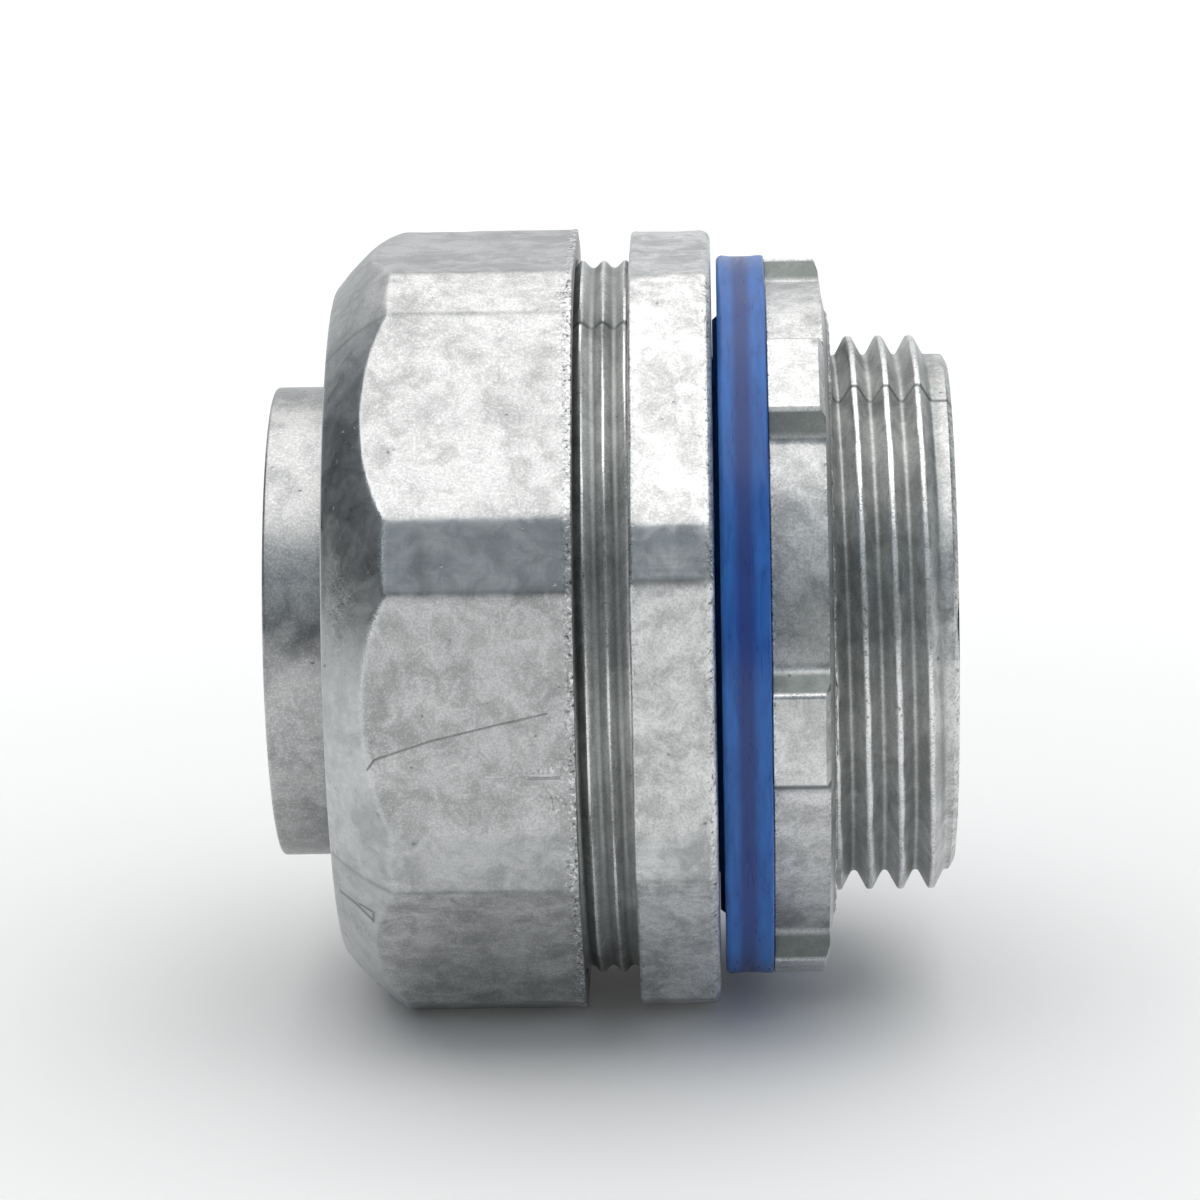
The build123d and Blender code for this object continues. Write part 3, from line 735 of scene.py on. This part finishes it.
def make_ferrule():
    """Cast grounding ferrule: sleeve, floor and collar."""
    angle = columns(1.5)
    ring = Ring("ferrule", angle)
    ring.face(FERRULE_START, SLEEVE_BORE_R + 0.25, SLEEVE_R - 0.3, 4, 0.3)
    x = stations(FERRULE_START, FERRULE_FLOOR_X, 0.5, 0.3)
    r = SLEEVE_R - eased(x - FERRULE_START, 0.3)
    dent = 0.02 * (lumps(x, SLEEVE_R, angle, 2.0, 11) - 1) * smooth(0, 0.5, x - FERRULE_START)
    ring.band(x, r + dent)
    ring.face(FERRULE_FLOOR_X, SLEEVE_R + 0.02, COLLAR_INNER_R, 4)
    ring.band(stations(FERRULE_FLOOR_X - 0.02, COLLAR_X, 1.2), COLLAR_INNER_R + 0 * angle)
    ring.face(COLLAR_X, COLLAR_INNER_R + 0.05, COLLAR_R - 0.3, 2)
    x = stations(COLLAR_X, FERRULE_END, 0.8, 0.3)
    ring.band(x, COLLAR_R - eased(x - COLLAR_X, 0.3) + 0 * angle)
    ring.face(FERRULE_END, COLLAR_R - 0.02, SLEEVE_BORE_R + 0.6, 4)
    x = stations(FERRULE_END, FERRULE_START, 1.2, 0.6, 0.25)
    r = SLEEVE_BORE_R + np.maximum(0.6 - (FERRULE_END - x), 0) + eased(x - FERRULE_START, 0.25)
    ring.band(x[1:], r[1:] + 0 * angle)
    place(ring.build(), "ferrule", cast_zinc("zinc_ferrule", (0.56, 0.56, 0.56), (0.31, 0.315, 0.32), 0.05))


def make_compression_ring():
    """Nylon sealing ring with a conical nose and two grooves in its bore."""
    angle = columns(2.0)
    ring = Ring("compression_ring", angle)
    t = np.linspace(0, 1, 6)[:, None]
    ring.face(RING_START, RING_INNER_R + 0.05, RING_NOSE_R, 2)
    x = RING_START + (NUT_CONE_X - RING_START) * t[1:]
    ring.band(x, RING_NOSE_R + (RING_R - RING_NOSE_R) * t[1:] + 0 * angle)
    ring.band(stations(-22.6, RING_END - 0.7, 0.2), RING_R + 0 * angle)
    ring.face(RING_END, RING_R - 0.7, RING_INNER_R + 0.1, 4)
    x = stations(RING_END - 0.1, RING_START + 0.1, 0.06)
    middle = (RING_START + RING_END) / 2 + 0.3
    from_groove = np.minimum(abs(x - middle + 0.55), abs(x - middle - 0.55))
    groove = np.sqrt(np.maximum(RING_GROOVE_R**2 - from_groove**2, 0))
    # painted shade in the two grooves, deeper where they are deeper
    ring.band(x, RING_INNER_R + groove + 0 * angle, dirt_and_shade=groove * 2)
    place(ring.build(), "compression_ring", nylon())


def make_gasket():
    """Blue sealing ring, faintly hollow round its middle."""
    angle = columns(1.2)
    ring = Ring("face_gasket", angle)
    ring.face(GASKET_START, GASKET_BORE_R + 0.02, GASKET_LIP_R, 3)
    ring.face(GASKET_FACE_X, GASKET_LIP_FOOT_R, GASKET_R - GASKET_FACE_ROUND, 5)
    x = stations(GASKET_FACE_X, GASKET_END, 0.1, GASKET_FACE_ROUND, GASKET_BACK_ROUND)
    edge = eased(x - GASKET_FACE_X, GASKET_FACE_ROUND) + eased(GASKET_END - x, GASKET_BACK_ROUND)
    hollow = 0.07 * smooth(0.4, 1.2, x - GASKET_FACE_X) * smooth(0.4, 1.2, GASKET_END - x)
    wave = 0.02 * (lumps(x, GASKET_R, angle, 6.0, 13) - 1) * smooth(0.2, 0.8, x - GASKET_FACE_X)
    rim = (edge > 0.01) * smooth(0.05, 0.3, edge)
    # painted sheen on the rounded rims
    ring.band(x, GASKET_R - edge - hollow + wave, 0.5 * rim)
    ring.face(GASKET_END, GASKET_R - GASKET_BACK_ROUND, GASKET_BORE_R + 0.05, 5)
    ring.band(stations(GASKET_END - 0.05, GASKET_START + 0.05, 0.8), GASKET_BORE_R + 0 * angle)
    place(ring.build(), "face_gasket", blue_plastic())


def make_locknut():
    """Cast locknut: six lugs, dished back, low boss with a ragged rim, threaded bore."""
    centres = [FIRST_LUG_ANGLE + 360 / LUG_COUNT * lug for lug in range(LUG_COUNT)]
    foot_turn = math.degrees(math.asin(4.3 / LOCKNUT_RIM_R))
    corners = [centre + sign * foot_turn for centre in centres for sign in (-1, 1)]
    angle = columns(1.2, corners, 3.4, 0.2)
    ring = Ring("locknut", angle)
    off = np.min([abs(turn_gap(angle, centre)) for centre in centres], axis=0)
    # a lug's side is a line that leans off the radius; where a ray meets it is the side's radius
    lean = math.radians(LUG_SIDE_ANGLE)
    turn = np.radians(np.maximum(off, 0.01))
    side = (LUG_TIP_WIDTH / 2 + LUG_R * math.tan(lean)) / (np.sin(turn) + np.cos(turn) * math.tan(lean))
    lug = soft_min(side, LUG_R + 0 * side, 0.06)
    rim = 0.25 * np.logaddexp(lug / 0.25, LOCKNUT_RIM_R / 0.25)
    rim = np.minimum(np.where(lug > LOCKNUT_RIM_R + 0.9, lug, rim), LUG_R)

    ring.face(LOCKNUT_START, LOCKNUT_MOUTH_R, rim - 0.12, 6)
    x = stations(LOCKNUT_START, LOCKNUT_BACK_X, 0.25, 0.12)
    x = np.unique(np.concatenate((x, stations(7.7, LOCKNUT_BACK_X, 0.06))))[:, None]
    chamfer_slope = 1.1 / (LOCKNUT_BACK_X - LUG_CHAMFER_X)
    corner_cut = np.where(x > LUG_CHAMFER_X, LUG_R - (x - LUG_CHAMFER_X) * chamfer_slope, FAR)
    r = soft_min(rim - eased(x - LOCKNUT_START, 0.12), corner_cut + 0 * rim, 0.03)
    # painted shade on the lugs' side walls, with a painted highlight along the narrow ledge at their top
    flank = smooth(LOCKNUT_RIM_R + 0.05, LOCKNUT_RIM_R + 0.5, rim)
    flank = flank * (1 - smooth(LUG_R - 0.25, LUG_R - 0.05, rim))
    ledge = np.exp(-(((rim - LUG_R + 0.12) / 0.09) ** 2))
    dent = 0.03 * (lumps(x, r, angle, 1.8, 17) - 1) * (1 - flank)
    fray = 0.7 * (1 - smooth(LOCKNUT_START + 0.1, LOCKNUT_START + 0.35, x)) + 0.5 * smooth(7.85, 8.1, x)
    # painted shade: a darker patch on the rim and lug tops on the near side, a little above the middle
    stain = 0.35 * spot(x, angle, 6.0, 168, 5.0, 9) * (1 - flank)
    pit = spot(x, angle, 7.5, 119.5, 0.25, 0.6)
    dirt_and_shade = 0.8 * flank * (1 - ledge) + stain + pit
    ring.band(x, r + dent - 0.1 * pit, ledge, dirt_and_shade, 0.2 * flank, fray * (1 - flank))
    back_r = np.minimum(rim, 26.0) - 0.1
    t = np.linspace(0, 1, 8)[1:, None]
    x = LOCKNUT_BACK_X + (BOSS_FOOT_X - LOCKNUT_BACK_X) * t
    # painted shade growing towards the foot of the boss
    ring.band(x, back_r * (1 - t) + BOSS_FOOT_R * t, dirt_and_shade=0.2 + 0.5 * t**3)
    coarse, fine = lumps(0, 22.0, angle, 0.9, 19), lumps(0, 22.0, angle, 0.45, 23)
    ragged = np.clip(coarse + 0.8 * fine, -1, 1)
    boss_x = LOCKNUT_END - 0.1 * (1 - ragged)
    t = np.linspace(0, 1, 6)[1:, None]
    x = BOSS_FOOT_X + (boss_x - BOSS_FOOT_X) * np.sin(np.pi / 2 * t)
    r = BOSS_FOOT_R - 0.45 * t + 0.15 * ragged * t
    # the boss and its end face: lighter towards the rim from wear and painted highlight, painted shade at
    # the foot
    ring.band(x, r, 0.5 * t, 0.5 * (1 - t), fray=smooth(0, 0.3, t))
    ring.face(boss_x, 22.3 + 0.15 * ragged, 21.4, 4, 0.35, 0.2)
    x = stations(LOCKNUT_END - 0.25, LOCKNUT_START + 0.05, 0.09)
    hub_groove = HUB_ROOT_R + THREAD_GAP + 0.04 + hub_groove_depth(x, angle)
    sink = np.maximum(LOCKNUT_MOUTH_R - (LOCKNUT_END - x), LOCKNUT_MOUTH_R - (x - LOCKNUT_START))
    # painted shade inside the threaded bore
    ring.band(x, np.maximum(hub_groove, sink), dirt_and_shade=0.5)
    place(ring.build(), "locknut", cast_zinc("zinc_locknut", (0.80, 0.80, 0.795), (0.43, 0.435, 0.43)))


def hub_groove_depth(x, angle):
    """Depth of the locknut's groove outside its bore: the hub's ridge without its ends."""
    distance, _ = crest_distance(x, angle, HUB_PITCH, HUB_CREST_X)
    widened = np.maximum(distance - THREAD_GAP, 0)
    return whitworth(widened, HUB_PITCH, HUB_RIDGE)


# ---- floor, light and camera -------------------------------------------------------------


def make_floor():
    """Pale floor that the connector lies on, rising to a backdrop far behind it. It glows, faintly next to
    the connector and more farther out: a painted light that lightens the floor and the connector's
    undersides.
    """
    low = cad_box[0].z
    across = np.array((-2.5, 2.5))
    sweep_r = 0.8
    turn = np.linspace(0, np.pi / 2, 24)
    y = np.concatenate(([-2.0], 1.6 + sweep_r * np.sin(turn), [1.6 + sweep_r]))
    z = np.concatenate(([0.0], sweep_r * (1 - np.cos(turn)), [3.0]))
    points = [(x, a, low + b) for a, b in zip(y, z) for x in across]
    quads = [(2 * i, 2 * i + 1, 2 * i + 3, 2 * i + 2) for i in range(len(y) - 1)]
    mesh = bpy.data.meshes.new("floor")
    mesh.from_pydata(points, [], quads)
    mesh.polygons.foreach_set("use_smooth", np.ones(len(quads), bool))
    floor = bpy.data.objects.new("floor", mesh)
    bpy.context.scene.collection.objects.link(floor)
    s = Shader("pale_glowing_floor")
    s.put(s.surface.inputs["Base Color"], (0.93, 0.93, 0.93, 1))
    s.put(s.surface.inputs["Roughness"], 0.7)
    away = s.node("ShaderNodeVectorMath", {"operation": "LENGTH"})
    s.put(away.inputs[0], s.where)
    # painted glow: the floor's emission grows with distance from the connector
    near = s.between(away.outputs["Value"], 50, 170, 0.03, 0.17)
    far = s.between(away.outputs["Value"], 150, 700, 0.0, 0.20)
    s.put(s.surface.inputs["Emission Color"], (1.0, 0.98, 0.965, 1))
    s.put(s.surface.inputs["Emission Strength"], s.maths("ADD", near, far))
    mesh.materials.append(s.material)


def softbox(name, where, aim, size, power):
    """A rectangular area light that looks at a point."""
    lamp = bpy.data.lights.new(name, "AREA")
    lamp.shape = "RECTANGLE"
    lamp.size, lamp.size_y = size
    lamp.energy = power
    lamp.color = (1.0, 0.955, 0.92)
    light = bpy.data.objects.new(name, lamp)
    light.location = where
    light.rotation_mode = "QUATERNION"
    light.rotation_quaternion = (Vector(aim) - Vector(where)).to_track_quat("-Z", "Y")
    bpy.context.scene.collection.objects.link(light)


def make_light():
    """A wide softbox overhead, weaker light from behind, and a room that is dim low down and to the left."""
    softbox("overhead", (0.0, -0.04, 0.6), (0, 0, 0), (1.0, 0.7), 3.1)
    softbox("behind", (0.0, 0.55, 0.75), (0, 0, 0), (1.2, 0.5), 1.6)
    world = bpy.data.worlds.new("room")
    world.use_nodes = True
    tree = world.node_tree
    background = tree.nodes["Background"]
    background.inputs["Color"].default_value = (0.76, 0.86, 0.93, 1)
    towards = tree.nodes.new("ShaderNodeSeparateXYZ")
    tree.links.new(tree.nodes.new("ShaderNodeTexCoord").outputs["Generated"], towards.inputs[0])
    ramps = []
    for axis, low, high, dim, full in (("Z", 0.05, 0.6, 0.06, 0.50), ("X", -0.9, -0.2, 0.4, 1.0)):
        ramp = tree.nodes.new("ShaderNodeMapRange")
        ramp.interpolation_type = "SMOOTHSTEP"
        for socket, number in zip(ramp.inputs[1:5], (low, high, dim, full)):
            socket.default_value = number
        tree.links.new(towards.outputs[axis], ramp.inputs[0])
        ramps.append(ramp.outputs[0])
    product = tree.nodes.new("ShaderNodeMath")
    product.operation = "MULTIPLY"
    tree.links.new(ramps[0], product.inputs[0])
    tree.links.new(ramps[1], product.inputs[1])
    tree.links.new(product.outputs[0], background.inputs["Strength"])
    bpy.context.scene.world = world
    bpy.context.scene.view_settings.view_transform = "Standard"


def make_camera():
    """A long lens on the near side, raised 14 degrees, with a small yaw, pitch and roll."""
    distance, elevation, lens = 398.24, math.radians(14), 157.64
    aside = 0.66  # how far along X the camera stands from the origin
    roll, pitch, yaw = -0.0152, -0.0031, 0.0236
    right = Vector((1, 0, 0))
    down = Vector((0, -math.sin(elevation), -math.cos(elevation)))
    away = Vector((0, math.cos(elevation), -math.sin(elevation)))
    square_on = Matrix((right, down, away)).transposed()
    turn = Matrix.Rotation(roll, 3, "Z") @ Matrix.Rotation(pitch, 3, "X") @ Matrix.Rotation(yaw, 3, "Y")
    axes = square_on @ turn.transposed() @ Matrix.Diagonal((1, -1, -1))
    camera = bpy.data.objects.new("camera", bpy.data.cameras.new("camera"))
    camera.data.sensor_width = 36
    camera.data.lens = lens
    camera.data.clip_start = 0.01
    camera.matrix_world = Matrix.Translation((right * aside - away * distance) * MM) @ axes.to_4x4()
    bpy.context.scene.collection.objects.link(camera)
    bpy.context.scene.camera = camera


make_body()
make_nut()
make_ferrule()
make_compression_ring()
make_gasket()
make_locknut()
make_floor()
make_light()
make_camera()
